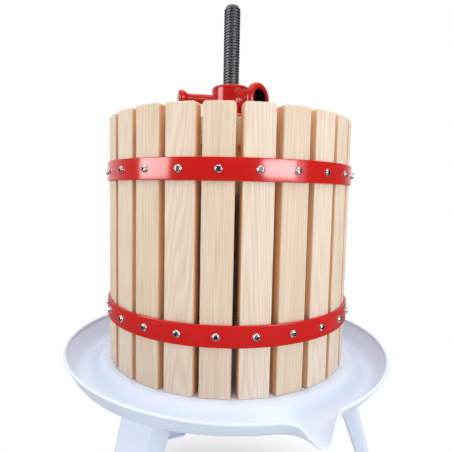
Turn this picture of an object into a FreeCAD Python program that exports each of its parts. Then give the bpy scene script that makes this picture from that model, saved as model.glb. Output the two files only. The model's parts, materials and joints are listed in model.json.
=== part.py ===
import FreeCAD, Part
import math
import os
from types import SimpleNamespace

import Sketcher
from FreeCAD import Placement, Rotation, Vector

# Basket press for fruit. Millimetres, +Z up. The origin is on the ground, on the spindle's axis.
# The spout points to -Y, off it by spout_turn, and the cage's floor is at seat_height.

SIZES = (
    ("seat_height", 300.0, "cage floor above the ground"),
    ("slat_count", 24, "slats round the cage"),
    ("slat_width", 37.0, "slat, across its outer face"),
    ("slat_thickness", 18.0, "slat, front to back"),
    ("slat_length", 338.0, "slat, end to end"),
    ("slat_ease", 2.0, "eased edges of a slat, all round"),
    ("cage_apothem", 173.0, "spindle axis to a slat's outer face"),
    ("hoop_width", 26.0, "hoop strip, up the cage"),
    ("hoop_thickness", 3.0, "hoop strip"),
    ("hoop_inset", 75.0, "cage end to the middle of its hoop"),
    ("hoop_fit", 0.1, "gap between a slat's corners and the hoop"),
    ("screw_head_radius", 4.6, "hoop screw's head"),
    ("screw_head_height", 2.8, "hoop screw's head"),
    ("screw_head_top", 2.6, "radius of the screw head's flat top"),
    ("spindle_radius", 12.0, "screw spindle, over the thread"),
    ("spindle_rise", 171.0, "spindle above the cage's top"),
    ("spindle_chamfer", 2.0, "spindle's top end, and its collar's"),
    ("collar_radius", 21.0, "spindle collar that sits on the tray"),
    ("collar_height", 7.0, "spindle collar"),
    ("thread_fit", 0.05, "radial running clearance on the spindle"),
    ("loose_fit", 0.8, "radial clearance of the pieces that slide over the spindle"),
    ("tray_sheet", 2.0, "pressed sheet of the tray"),
    ("rim_radius", 237.0, "outside of the tray's wall at the rim"),
    ("rim_height", 13.0, "tray rim above the cage floor"),
    ("rim_bead", 2.4, "radius of the rolled rim"),
    ("gutter_depth", 16.0, "gutter floor below the cage floor"),
    ("seat_radius", 186.0, "flat seat under the cage"),
    ("seat_slope", 14.0, "run of the slope from the seat down to the gutter"),
    ("wall_taper", 28.9, "tray wall, degrees from upright"),
    ("gutter_bevel", 4.0, "bevel between the gutter's floor and wall, along each, outside"),
    ("spout_overhang", 20.0, "spout's lip beyond the rim"),
    ("spout_half_width", 24.0, "half the spout's width at its lip, at rim level"),
    ("spout_flare", 17.0, "each side of the spout, degrees from its axis"),
    ("spout_root", 14.0, "rounding between the rim and the spout's sides"),
    ("spout_turn", -2.6, "direction of the spout, degrees from -Y"),
    ("leg_splay", 16.6, "leg, degrees from upright"),
    ("leg_width", 62.0, "leg, across its outer face"),
    ("leg_sheet", 3.0, "folded sheet of the legs"),
    ("leg_bend", 8.0, "outside radius of the leg's folds"),
    ("leg_flange_top", 30.5, "leg flange at the top"),
    ("leg_flange_foot", 9.0, "leg flange at the ground"),
    ("leg_inset", 7.5, "seat's edge to the leg's outer face, at its top"),
    ("foot_length", 30.0, "leg's foot plate, outwards"),
    ("foot_hole", 5.5, "radius of the hole for a floor bolt"),
    ("foot_round", 10.0, "corners of the foot plate"),
    ("cross_thickness", 5.0, "three-armed plate under the tray"),
    ("cross_hub", 52.0, "radius of that plate's middle"),
    ("cross_arm", 54.0, "width of each of its arms"),
    ("cross_inset", 14.0, "seat's edge to the arm's end"),
    ("bolt_inset", 4.0, "gap between a leg bolt's head and the slats"),
    ("bolt_edge", 11.5, "leg bolt to the inner edge of the leg's top plate"),
    ("bolt_spacing", 30.0, "between a leg's two bolts"),
    ("bolt_radius", 4.0, "leg bolt"),
    ("bolt_neck", 8.6, "side of the bolt's square neck, which keeps it from turning"),
    ("hole_fit", 0.5, "gap on each side of a neck, and round the spindle, in their holes"),
    ("bolt_head_radius", 9.0, "leg bolt's round head"),
    ("bolt_head_height", 4.0, "leg bolt's round head"),
    ("bolt_nut_radius", 7.5, "leg bolt's nut, to its corners"),
    ("bolt_nut_height", 6.5, "leg bolt's nut"),
    ("bolt_tail", 3.0, "bolt past its nut"),
    ("spindle_nut_radius", 18.5, "spindle's nut, to its corners"),
    ("spindle_nut_height", 18.0, "spindle's nut"),
    ("spindle_tail", 6.0, "spindle past its nut"),
    ("stack_drop", 5.0, "top of the blocks below the cage's top, at rest"),
    ("stack_turn", 60.0, "direction of the upper blocks, degrees from +X"),
    ("block_height", 36.0, "each wooden block"),
    ("block_gap", 13.5, "spindle axis to the side of an upper block"),
    ("block_ease", 2.0, "chamfer of a block's edges"),
    ("upper_block_width", 44.0, "upper blocks"),
    ("upper_block_length", 200.0, "upper blocks"),
    ("lower_block_width", 60.0, "lower blocks"),
    ("lower_block_length", 250.0, "lower blocks"),
    ("lower_block_gap", 22.0, "spindle axis to the side of a lower block"),
    ("plate_thickness", 25.0, "half-round plates"),
    ("plate_radius", 148.0, "half-round plates"),
    ("plate_gap", 1.0, "half the gap between the two plates"),
    ("foot_disc_radius", 38.0, "pressure disc on the blocks"),
    ("foot_disc_height", 7.0, "pressure disc on the blocks"),
    ("bearing_radius", 22.0, "thrust bearing between disc and head"),
    ("bearing_height", 6.0, "thrust bearing between disc and head"),
    ("head_height", 45.5, "press head"),
    ("head_turn", -68.5, "direction of the head's socket at rest, degrees from +X"),
    ("hub_radius", 28.0, "press head's hub"),
    ("hub_flange_radius", 33.0, "flange at the hub's foot"),
    ("hub_flange_height", 6.0, "flange at the hub's foot"),
    ("hub_bevel", 2.5, "bevel of the hub's top"),
    ("arm_level", 26.0, "height of the thin arms above the head's underside"),
    ("socket_level", 23.3, "height of the socket above the head's underside"),
    ("socket_bore", 13.5, "radius of the lever socket"),
    ("socket_depth", 36.0, "lever socket"),
    ("socket_reach", 57.0, "spindle axis to the socket's mouth"),
    ("socket_neck", 18.0, "outside radius of the socket behind its bead"),
    ("socket_bead", 22.7, "outside radius of the bead at the mouth"),
    ("socket_bead_width", 12.0, "bead at the mouth"),
    ("socket_bead_bevel", 4.0, "bevel of that bead"),
    ("arm_radius", 7.0, "thin arms"),
    ("arm_reach", 79.0, "spindle axis to the end of a thin arm"),
    ("arm_bead", 11.5, "radius of the knob on a thin arm"),
    ("arm_bead_width", 8.0, "knob on a thin arm"),
    ("arm_bead_bevel", 2.5, "bevel of those knobs"),
)

LEG_ANGLES = (("leg_front_right", -30.0), ("leg_rear", 90.0), ("leg_front_left", 210.0))
UPRIGHT = Vector(0, 0, 1)


class Size:
    """A size: its value, and the expression that works it out from the sheet."""

    def __init__(self, value, text):
        self.value = float(value)
        self.text = text

    def __add__(self, other):
        return Size(self.value + number(other), "(%s + %s)" % (self.text, words(other)))

    def __radd__(self, other):
        return Size(number(other) + self.value, "(%s + %s)" % (words(other), self.text))

    def __sub__(self, other):
        return Size(self.value - number(other), "(%s - %s)" % (self.text, words(other)))

    def __rsub__(self, other):
        return Size(number(other) - self.value, "(%s - %s)" % (words(other), self.text))

    def __mul__(self, other):
        return Size(self.value * number(other), "(%s * %s)" % (self.text, words(other)))

    def __rmul__(self, other):
        return Size(number(other) * self.value, "(%s * %s)" % (words(other), self.text))

    def __truediv__(self, other):
        return Size(self.value / number(other), "(%s / %s)" % (self.text, words(other)))

    def __rtruediv__(self, other):
        return Size(number(other) / self.value, "(%s / %s)" % (words(other), self.text))

    def __neg__(self):
        return Size(-self.value, "(0 - %s)" % self.text)


def number(size):
    return size.value if isinstance(size, Size) else float(size)


def words(size):
    return size.text if isinstance(size, Size) else "(%.6f)" % size


def cosine(angle):
    return Size(math.cos(math.radians(number(angle))), "cos(%s)" % words(angle))


def sine(angle):
    return Size(math.sin(math.radians(number(angle))), "sin(%s)" % words(angle))


def tangent(angle):
    return Size(math.tan(math.radians(number(angle))), "tan(%s)" % words(angle))


def root(size):
    return Size(math.sqrt(number(size)), "sqrt(%s)" % words(size))


doc = FreeCAD.newDocument("FruitPress")
sheet = doc.addObject("Spreadsheet::Sheet", "Dimensions")
for row, (name, value, meaning) in enumerate(SIZES, start=1):
    sheet.set("A%d" % row, name)
    sheet.set("B%d" % row, str(value))
    sheet.set("C%d" % row, meaning)
    sheet.setAlias("B%d" % row, name)
doc.recompute()
d = SimpleNamespace(**{name: Size(sheet.get(name), "Dimensions." + name) for name, value, meaning in SIZES})
nodes = []

# Levels and radii that follow from the sheet.
cage_top = d.seat_height + d.slat_length
stack_top = cage_top - d.stack_drop
disc_top = stack_top + d.foot_disc_height
head_base = disc_top + d.bearing_height
plate_base = stack_top - 2 * d.block_height - d.plate_thickness
cross_top = d.seat_height - d.tray_sheet
leg_top = cross_top - d.cross_thickness
spindle_top = cage_top + d.spindle_rise
leg_reach = d.seat_radius - d.leg_inset
cross_reach = d.seat_radius - d.cross_inset
bolt_circle = d.cage_apothem - d.slat_thickness - d.bolt_head_radius - d.bolt_inset
spout_reach = d.rim_radius + d.spout_overhang
gutter_floor = -d.gutter_depth
tray_under = gutter_floor - d.tray_sheet
slat_shoulder = d.slat_width / 2 - d.slat_ease
hoop_inner = root(d.cage_apothem * d.cage_apothem + slat_shoulder * slat_shoulder) + d.hoop_fit
hoop_outer = hoop_inner + d.hoop_thickness
hoop_levels = (("upper", cage_top - d.hoop_inset), ("lower", d.seat_height + d.hoop_inset))


def bind(thing, path, size):
    """Ties a property to the sheet."""
    if isinstance(size, Size):
        thing.setExpression(path, size.text)
    else:
        setattr(thing, path, size)


def new_body(label, x=0.0, y=0.0, z=0.0, turn=0.0):
    body = doc.addObject("PartDesign::Body", label)
    body.Label = label
    body.Placement = Placement(
        Vector(number(x), number(y), number(z)), Rotation(UPRIGHT, number(turn))
    )
    for path, size in (("x", x), ("y", y), ("z", z)):
        if isinstance(size, Size):
            body.setExpression("Placement.Base." + path, size.text)
    if isinstance(turn, Size):
        body.setExpression("Placement.Rotation.Angle", turn.text)
    nodes.append(body)
    return body


def new_sketch(body, name, role, offset=0.0, turn=0.0):
    """A sketch on one of the body's own origin planes, turned about the upright and set off."""
    sketch = body.newObject("Sketcher::SketchObject", body.Label + "_" + name)
    plane = next(item for item in body.Origin.OriginFeatures if item.Role == role)
    sketch.AttachmentSupport = [(plane, "")]
    sketch.MapMode = "FlatFace"
    upright = UPRIGHT if role == "XY_Plane" else Vector(0, 1, 0)
    turned = Rotation(upright, number(turn))
    away = turned.multVec(Vector(0, 0, 1))
    sketch.AttachmentOffset = Placement(away * number(offset), turned)
    if isinstance(offset, Size):
        for path, share in (("x", away.x), ("z", away.z)):
            sketch.setExpression("AttachmentOffset.Base." + path, (offset * share).text)
    if isinstance(turn, Size):
        sketch.setExpression("AttachmentOffset.Rotation.Angle", turn.text)
    return sketch


def pin(sketch, curve, end, x, y):
    """Holds a point of a curve at x, y from the sketch's origin."""
    for kind, axis, size in (("DistanceX", -2, x), ("DistanceY", -1, y)):
        if abs(number(size)) < 1e-9:
            sketch.addConstraint(Sketcher.Constraint("PointOnObject", curve, end, axis))
            continue
        constraint = Sketcher.Constraint(kind, -1, 1, curve, end, number(size))
        index = sketch.addConstraint(constraint)
        if isinstance(size, Size):
            sketch.setExpression("Constraints[%d]" % index, size.text)


def polygon(sketch, corners):
    """A closed outline of straight lines."""
    first = sketch.GeometryCount
    places = [Vector(number(x), number(y), 0) for x, y in corners]
    for here, there in zip(places, places[1:] + places[:1]):
        sketch.addGeometry(Part.LineSegment(here, there), False)
    for index in range(len(corners)):
        following = (index + 1) % len(corners)
        sketch.addConstraint(
            Sketcher.Constraint("Coincident", first + index, 2, first + following, 1)
        )
    for index, (x, y) in enumerate(corners):
        pin(sketch, first + index, 1, x, y)


def circle(sketch, x, y, radius):
    curve = sketch.addGeometry(
        Part.Circle(Vector(number(x), number(y), 0), UPRIGHT, number(radius)), False
    )
    pin(sketch, curve, 3, x, y)
    hold(sketch, "Radius", curve, radius)


def hold(sketch, kind, curve, size):
    """A radius, or a line's angle, tied to the sheet."""
    turned = kind == "Angle"
    value = math.radians(number(size)) if turned else number(size)
    index = sketch.addConstraint(Sketcher.Constraint(kind, curve, value))
    if isinstance(size, Size):
        unit = " * 1 deg" if turned else ""
        sketch.setExpression("Constraints[%d]" % index, size.text + unit)


def feature(body, kind, name):
    return body.newObject("PartDesign::" + kind, body.Label + "_" + name)


def volume_of(body):
    doc.recompute()
    return body.Shape.Volume


def must_change(body, before, grows):
    """A feature that misses the solid shows no error, so its effect is measured."""
    after = volume_of(body)
    if (after > before) != grows or abs(after - before) < 1e-6:
        raise RuntimeError("%s: %s changed nothing" % (body.Label, body.Tip.Label))


def pad(body, sketch, length, middle=False, down=False, taper=0.0):
    before = volume_of(body) if body.Tip else 0.0
    made = feature(body, "Pad", sketch.Label.split("_")[-1] + "_pad")
    made.Profile = sketch
    made.Reversed = down
    made.SideType = "Symmetric" if middle else "One side"
    bind(made, "Length", length)
    bind(made, "TaperAngle", taper)
    must_change(body, before, True)
    return made


def pocket(body, sketch, length, middle=False, up=False, taper=0.0):
    before = volume_of(body)
    made = feature(body, "Pocket", sketch.Label.split("_")[-1] + "_pocket")
    made.Profile = sketch
    made.Reversed = up
    made.SideType = "Symmetric" if middle else "One side"
    bind(made, "Length", length)
    bind(made, "TaperAngle", taper)
    must_change(body, before, False)
    return made


def revolve(body, sketch, cut=False, angle=360.0):
    before = volume_of(body) if body.Tip else 0.0
    made = feature(body, "Groove" if cut else "Revolution", sketch.Label.split("_")[-1] + "_turned")
    made.Profile = sketch
    made.ReferenceAxis = (sketch, ["V_Axis"])
    bind(made, "Angle", angle)
    must_change(body, before, not cut)
    return made


def repeat(body, originals, count):
    """The same features again, evenly round the body's upright axis."""
    before = volume_of(body)
    made = feature(body, "PolarPattern", originals[0].Label.split("_")[-1] + "_ring")
    made.Originals = originals
    axis = next(item for item in body.Origin.OriginFeatures if item.Role == "Z_Axis")
    made.Axis = (axis, [""])
    made.Angle = 360
    made.Occurrences = count
    body.Tip = made
    if abs(volume_of(body) - before) < 1e-6:
        raise RuntimeError("%s: %s repeats nothing" % (body.Label, made.Label))
    return made


def edges_where(body, test):
    """The names of the edges that pass the test, in the body's own frame."""
    doc.recompute()
    shape = body.Tip.Shape
    return ["Edge%d" % (index + 1) for index, edge in enumerate(shape.Edges) if test(edge)]


def soften(body, kind, name, size, test):
    """A fillet or a chamfer on the edges that pass the test."""
    picked = edges_where(body, test)
    if not picked:
        raise RuntimeError("%s: no edge for %s" % (body.Label, name))
    base = body.Tip
    before = volume_of(body)
    made = feature(body, kind, name)
    made.Base = (base, picked)
    bind(made, "Radius" if kind == "Fillet" else "Size", size)
    doc.recompute()
    if abs(volume_of(body) - before) < 1e-9:
        raise RuntimeError("%s: %s changed nothing" % (body.Label, name))
    return made


def is_upright(edge):
    box = edge.BoundBox
    return box.XLength < 1e-4 and box.YLength < 1e-4 and box.ZLength > 1e-3


def is_circle(edge, radius, level=None):
    if not isinstance(edge.Curve, Part.Circle):
        return False
    if abs(edge.Curve.Radius - number(radius)) > 1e-4:
        return False
    return level is None or abs(edge.Curve.Center.z - number(level)) < 1e-4


def new_group(label, solids):
    """Identical fasteners as one node: separate solids of one shape."""
    group = doc.addObject("Part::Feature", label)
    group.Label = label
    group.Shape = Part.makeCompound(solids)
    nodes.append(group)
    return group


def spout_outline(sketch, inset, extra):
    """The tray's rim in plan, drawn in by an inset: a circle with a tongue towards -Y. The tongue
    runs on past the lip by the extra length and its roots are rounded."""
    radius = d.rim_radius - inset
    root_round = d.spout_root + inset
    reach = spout_reach + extra
    half_width = (
        d.spout_half_width - inset / cosine(d.spout_flare) - extra * tangent(d.spout_flare)
    )
    flare = math.radians(number(d.spout_flare))
    along = Vector(math.sin(flare), math.cos(flare), 0)
    outward = Vector(math.cos(flare), -math.sin(flare), 0)
    lip = Vector(number(half_width), -number(reach), 0)
    start = lip + outward * number(root_round)
    apart = number(radius) + number(root_round)
    half = start.dot(along)
    run = -half - math.sqrt(half * half - start.dot(start) + apart * apart)
    middle = start + along * run
    on_side = middle - outward * number(root_round)
    rim_angle = math.atan2(middle.y, middle.x)
    to_rim = rim_angle + math.pi
    to_side = math.pi - flare

    def mirrored(place):
        return Vector(-place.x, place.y, 0)

    def arc(centre, size, first, last):
        return Part.ArcOfCircle(Part.Circle(centre, UPRIGHT, number(size)), first, last)

    curves = (
        arc(Vector(0, 0, 0), radius, rim_angle, math.pi - rim_angle),
        arc(mirrored(middle), root_round, math.pi - to_side, math.pi - to_rim),
        Part.LineSegment(mirrored(on_side), mirrored(lip)),
        Part.LineSegment(mirrored(lip), lip),
        Part.LineSegment(lip, on_side),
        arc(middle, root_round, to_rim, to_side),
    )
    rim, left, left_side, lip_line, right_side, right = (
        sketch.addGeometry(curve, False) for curve in curves
    )
    for joint in (
        ("Coincident", rim, 3, -1, 1),
        ("Tangent", rim, 2, left, 2),
        ("Tangent", left, 1, left_side, 1),
        ("Coincident", left_side, 2, lip_line, 1),
        ("Coincident", lip_line, 2, right_side, 1),
        ("Tangent", right_side, 2, right, 2),
        ("Tangent", right, 1, rim, 1),
    ):
        sketch.addConstraint(Sketcher.Constraint(*joint))
    pin(sketch, lip_line, 1, -half_width, -reach)
    pin(sketch, lip_line, 2, half_width, -reach)
    for curve, size in ((rim, radius), (right, root_round), (left, root_round)):
        hold(sketch, "Radius", curve, size)
    hold(sketch, "Angle", left_side, d.spout_flare - 90)
    hold(sketch, "Angle", right_side, 90 - d.spout_flare)


def make_tray():
    """Pressed dish: a raised flat seat, a gutter round it, a sloping wall and a drawn spout."""
    body = new_body("tray", z=d.seat_height, turn=d.spout_turn)
    fold = (90 + d.wall_taper) / 2
    skin = d.tray_sheet / cosine(d.wall_taper)
    corner_skin = (d.tray_sheet / sine(fold) - d.tray_sheet) / cosine(fold)

    def band(name, make, top, depth, taper, inset):
        """A stretch of the wall, outside or inside, and how far in its lower edge lies."""
        lean = depth * tangent(taper)
        outline = new_sketch(body, name, "XY_Plane", top)
        spout_outline(outline, inset, lean + 1)
        make(body, outline, depth, taper=-taper, down=True)
        return inset + lean

    def hollow(body, outline, depth, taper, down):
        pocket(body, outline, depth, taper=taper)

    for name, make, floor, bevel, inset in (
        ("outer", pad, tray_under, d.gutter_bevel, 0.0),
        ("inner", hollow, gutter_floor, d.gutter_bevel - corner_skin, skin),
    ):
        rise = bevel * cosine(d.wall_taper)
        foot = band(
            name + "wall", make, d.rim_height, d.rim_height - floor - rise, d.wall_taper, inset
        )
        band(name + "foot", make, floor + rise, rise, fold, foot)

    lip = new_sketch(body, "lip", "YZ_Plane")
    above = d.rim_height + 1
    far = spout_reach + 3 * d.gutter_depth
    polygon(
        lip,
        (
            (-d.rim_radius - 1, above),
            (-spout_reach, tray_under),
            (-spout_reach, tray_under - 1),
            (-far, tray_under - 1),
            (-far, above),
        ),
    )
    pocket(body, lip, 2 * d.rim_radius, middle=True)

    middle = new_sketch(body, "middle", "XZ_Plane")
    slope_foot = d.seat_radius + d.seat_slope
    polygon(
        middle,
        (
            (0, tray_under - 1),
            (slope_foot - 2, tray_under - 1),
            (slope_foot - 2, gutter_floor + 1),
            (0, gutter_floor + 1),
        ),
    )
    revolve(body, middle, cut=True)
    seat = new_sketch(body, "seat", "XZ_Plane")
    hole = d.spindle_radius + d.hole_fit
    polygon(
        seat,
        (
            (hole, 0),
            (d.seat_radius, 0),
            (slope_foot, gutter_floor),
            (slope_foot, tray_under),
            (slope_foot - d.tray_sheet, tray_under),
            (d.seat_radius - d.tray_sheet, -d.tray_sheet),
            (hole, -d.tray_sheet),
        ),
    )
    revolve(body, seat)

    bead = new_sketch(body, "bead", "XZ_Plane", turn=BEAD_GAP - 90)
    polygon(
        bead,
        [
            (
                d.rim_radius - d.tray_sheet + d.rim_bead * cosine(60 * n),
                d.rim_height + d.rim_bead * sine(60 * n),
            )
            for n in range(6)
        ],
    )
    revolve(body, bead, angle=360 - 2 * BEAD_GAP)
    repeat(body, [bolt_holes(body, 10, LEG_ANGLES[0][1] - d.spout_turn)], len(LEG_ANGLES))


def bolt_holes(body, level, turn=0.0):
    """The two square holes for a leg's bolts, through a plate that lies flat."""
    holes = new_sketch(body, "bolts", "XY_Plane", level, turn)
    half = d.bolt_neck / 2 + d.hole_fit
    for side in (-1, 1):
        along = side * d.bolt_spacing / 2
        polygon(
            holes,
            (
                (bolt_circle - half, along - half),
                (bolt_circle + half, along - half),
                (bolt_circle + half, along + half),
                (bolt_circle - half, along + half),
            ),
        )
    return pocket(body, holes, 20)


def make_cross():
    """Three-armed plate that ties the legs and the spindle together under the tray."""
    body = new_body("base_cross", z=leg_top)
    hub = new_sketch(body, "hub", "XY_Plane")
    circle(hub, 0, 0, d.cross_hub)
    pad(body, hub, d.cross_thickness)
    arm = new_sketch(body, "arm", "XY_Plane", turn=LEG_ANGLES[0][1])
    polygon(
        arm,
        (
            (0, -d.cross_arm / 2),
            (cross_reach, -d.cross_arm / 2),
            (cross_reach, d.cross_arm / 2),
            (0, d.cross_arm / 2),
        ),
    )
    made = pad(body, arm, d.cross_thickness)
    repeat(body, [made], len(LEG_ANGLES))
    soften(
        body, "Fillet", "ends", d.foot_round,
        lambda edge: is_upright(edge) and reach(edge) > number(cross_reach) - 0.01,
    )
    bore = new_sketch(body, "bore", "XY_Plane", 10)
    circle(bore, 0, 0, d.spindle_radius + d.hole_fit)
    pocket(body, bore, 20)
    repeat(body, [bolt_holes(body, 10, LEG_ANGLES[0][1])], len(LEG_ANGLES))


def reach(edge):
    """How far an edge's middle is from the upright axis."""
    middle = edge.BoundBox.Center
    return math.hypot(middle.x, middle.y)


def make_leg(label, angle):
    """Splayed leg folded from sheet: a broad face, two flanges that taper, a top and a foot plate."""
    body = new_body(label, turn=angle)
    slope = tangent(d.leg_splay)
    skin = d.leg_sheet / cosine(d.leg_splay)
    ground_reach = leg_reach + leg_top * slope
    profile = new_sketch(body, "profile", "XZ_Plane")
    polygon(
        profile,
        (
            (leg_reach, leg_top),
            (ground_reach, 0),
            (ground_reach - d.leg_flange_foot, 0),
            (leg_reach - d.leg_flange_top, leg_top),
        ),
    )
    pad(body, profile, d.leg_width, middle=True)
    half = d.leg_width / 2

    def is_fold(edge, side, face_reach):
        ends = [vertex.Point for vertex in edge.Vertexes]
        if len(ends) < 2 or edge.Length < number(leg_top) / 2:
            return False
        low = min(ends, key=lambda point: point.z)
        return abs(abs(low.y) - side) < 0.01 and abs(low.x - face_reach) < 0.01

    soften(
        body, "Fillet", "folds", d.leg_bend,
        lambda edge: is_fold(edge, number(half), number(ground_reach)),
    )
    trough = new_sketch(body, "trough", "XZ_Plane")
    under = leg_top - d.leg_sheet
    below = 10
    polygon(
        trough,
        (
            (leg_reach + d.leg_sheet * slope - skin, under),
            (ground_reach + below * slope - skin, -below),
            (ground_reach - 3 * d.leg_flange_top, -below),
            (leg_reach - 2 * d.leg_flange_top, under),
        ),
    )
    pocket(body, trough, d.leg_width - 2 * d.leg_sheet, middle=True)
    soften(
        body, "Fillet", "inner_folds", d.leg_bend - d.leg_sheet,
        lambda edge: is_fold(edge, number(half - d.leg_sheet), number(ground_reach - skin)),
    )
    top = new_sketch(body, "top", "XY_Plane", under)
    inner_end = bolt_circle - d.bolt_edge
    polygon(
        top,
        (
            (inner_end, -half),
            (leg_reach - d.leg_bend, -half),
            (leg_reach - d.leg_bend, half),
            (inner_end, half),
        ),
    )
    pad(body, top, d.leg_sheet)
    foot = new_sketch(body, "foot", "XY_Plane")
    outer_end = ground_reach + d.foot_length
    polygon(
        foot,
        (
            (ground_reach - d.leg_flange_foot, -half),
            (outer_end, -half),
            (outer_end, half),
            (ground_reach - d.leg_flange_foot, half),
        ),
    )
    pad(body, foot, d.leg_sheet)
    soften(
        body, "Fillet", "corners", d.foot_round,
        lambda edge: is_upright(edge) and edge.BoundBox.Center.x > number(outer_end) - 0.01,
    )
    bolt_holes(body, leg_top + 10)
    anchor = new_sketch(body, "anchor", "XY_Plane", 20)
    circle(anchor, ground_reach + d.foot_length / 2, 0, d.foot_hole)
    pocket(body, anchor, 40)


def faceted(count, radius, top_radius, height):
    """A fastener's head, shank or nut: flat sides that may lean in towards the top."""
    turns = [2 * math.pi * n / count for n in range(count + 1)]
    rings = [
        [Vector(size * math.cos(turn), size * math.sin(turn), level) for turn in turns]
        for size, level in ((radius, 0), (top_radius, height))
    ]
    faces = [Part.Face(Part.makePolygon(ring)) for ring in rings]
    low, high = rings
    for n in range(count):
        corners = [low[n], low[n + 1], high[n + 1], high[n], low[n]]
        faces.append(Part.Face(Part.makePolygon(corners)))
    solid = Part.Solid(Part.Shell(faces))
    solid.fixTolerance(1e-6)
    return solid if solid.Volume > 0 else solid.reversed()


def at_leg_bolts(solid):
    """The solid at each of the legs' bolt places, square with its leg."""
    for label, angle in LEG_ANGLES:
        for side in (-1, 1):
            placed = solid.translated(
                Vector(number(bolt_circle), side * number(d.bolt_spacing) / 2, 0)
            )
            placed.rotate(Vector(0, 0, 0), UPRIGHT, angle)
            yield placed


def make_leg_bolts():
    """Coach bolts through tray, cross and leg, with round heads and square necks, and their nuts."""
    radius = number(d.bolt_radius)
    seat = number(d.seat_height)
    nut_height = number(d.bolt_nut_height)
    nut_base = number(leg_top - d.leg_sheet) - nut_height
    length = seat - nut_base + number(d.bolt_tail)
    head_radius = number(d.bolt_head_radius)
    head = faceted(12, head_radius, head_radius / 2, number(d.bolt_head_height))
    head.translate(Vector(0, 0, seat))
    shank = faceted(12, radius, radius, length)
    shank.translate(Vector(0, 0, seat - length))
    side = number(d.bolt_neck)
    depth = number(d.tray_sheet + d.cross_thickness)
    neck = Part.makeBox(side, side, depth, Vector(-side / 2, -side / 2, seat - depth))
    bolt = head.fuse([neck, shank]).removeSplitter()
    bore = radius + number(d.thread_fit)
    corner = number(d.bolt_nut_radius)
    nut = faceted(6, corner, corner, nut_height).cut(faceted(12, bore, bore, nut_height))
    nut.translate(Vector(0, 0, nut_base))
    new_group("leg_bolts", list(at_leg_bolts(bolt)))
    new_group("leg_nuts", list(at_leg_bolts(nut)))


def make_spindle():
    """Upright screw with the collar it stands on; its thread runs over the full height."""
    nut_base = leg_top - d.spindle_nut_height
    tail = nut_base - d.spindle_tail
    body = new_body("spindle")
    profile = new_sketch(body, "profile", "XZ_Plane")
    radius = d.spindle_radius
    collar_top = d.seat_height + d.collar_height
    polygon(
        profile,
        (
            (0, tail),
            (radius, tail),
            (radius, d.seat_height),
            (d.collar_radius, d.seat_height),
            (d.collar_radius, collar_top - d.spindle_chamfer),
            (d.collar_radius - d.spindle_chamfer, collar_top),
            (radius, collar_top),
            (radius, spindle_top - d.spindle_chamfer),
            (radius - d.spindle_chamfer, spindle_top),
            (0, spindle_top),
        ),
    )
    revolve(body, profile)
    bore = d.spindle_radius + d.thread_fit
    nut = new_body("spindle_nut", z=nut_base)
    outline = new_sketch(nut, "outline", "XY_Plane")
    polygon(
        outline,
        [(d.spindle_nut_radius * cosine(60 * n), d.spindle_nut_radius * sine(60 * n)) for n in range(6)],
    )
    circle(outline, 0, 0, bore)
    pad(nut, outline, d.spindle_nut_height)


def make_slat(index, count):
    """One stave of the cage, with eased long edges."""
    angle = 360.0 / count * index
    body = new_body(
        "slat_%02d" % (index + 1),
        x=d.cage_apothem * cosine(angle),
        y=d.cage_apothem * sine(angle),
        z=d.seat_height,
        turn=angle,
    )
    section = new_sketch(body, "section", "XY_Plane")
    half = d.slat_width / 2
    polygon(
        section,
        (
            (-d.slat_thickness, -half),
            (0, -half),
            (0, half),
            (-d.slat_thickness, half),
        ),
    )
    pad(body, section, d.slat_length)
    soften(body, "Chamfer", "eased", d.slat_ease, lambda edge: True)


def make_hoop(label, level):
    """Steel strip round the cage, closed on itself."""
    body = new_body(label, z=level - d.hoop_width / 2)
    ring = new_sketch(body, "ring", "XY_Plane")
    circle(ring, 0, 0, hoop_outer)
    circle(ring, 0, 0, hoop_inner)
    pad(body, ring, d.hoop_width)


def make_hoop_screws(label, level, count):
    """The heads of the screws that hold the hoop, one to a slat."""
    head = faceted(
        8, number(d.screw_head_radius), number(d.screw_head_top), number(d.screw_head_height)
    )
    head.rotate(Vector(0, 0, 0), Vector(0, 1, 0), 90)
    head.translate(Vector(number(hoop_outer), 0, number(level)))
    heads = []
    for index in range(count):
        turned = head.copy()
        turned.rotate(Vector(0, 0, 0), UPRIGHT, 360.0 / count * index)
        heads.append(turned)
    new_group(label, heads)


def make_block(label, length, width, base, turn, offset):
    """A beam of the stack, beside the spindle."""
    body = new_body(label, z=base, turn=turn)
    section = new_sketch(body, "section", "XY_Plane")
    near = offset
    far = offset + width if number(offset) > 0 else offset - width
    polygon(
        section,
        ((-length / 2, near), (length / 2, near), (length / 2, far), (-length / 2, far)),
    )
    pad(body, section, d.block_height)
    soften(body, "Chamfer", "eased", d.block_ease, lambda edge: edge.Length > number(width) - 1e-6)


def make_half_plate(label, side):
    """Half-round board that presses the fruit, notched for the spindle."""
    body = new_body(label, z=plate_base, turn=d.stack_turn)
    outline = new_sketch(body, "outline", "XY_Plane")
    circle(outline, 0, 0, d.plate_radius)
    pad(body, outline, d.plate_thickness)
    cut = new_sketch(body, "cut", "XY_Plane", d.plate_thickness + 5)
    wide = d.plate_radius + 10
    polygon(
        cut,
        (
            (side * d.plate_gap, -wide),
            (side * d.plate_gap, wide),
            (-side * wide, wide),
            (-side * wide, -wide),
        ),
    )
    pocket(body, cut, d.plate_thickness + 10)
    notch = new_sketch(body, "notch", "XY_Plane", d.plate_thickness + 5)
    circle(notch, 0, 0, d.block_gap)
    pocket(body, notch, d.plate_thickness + 10)


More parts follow.
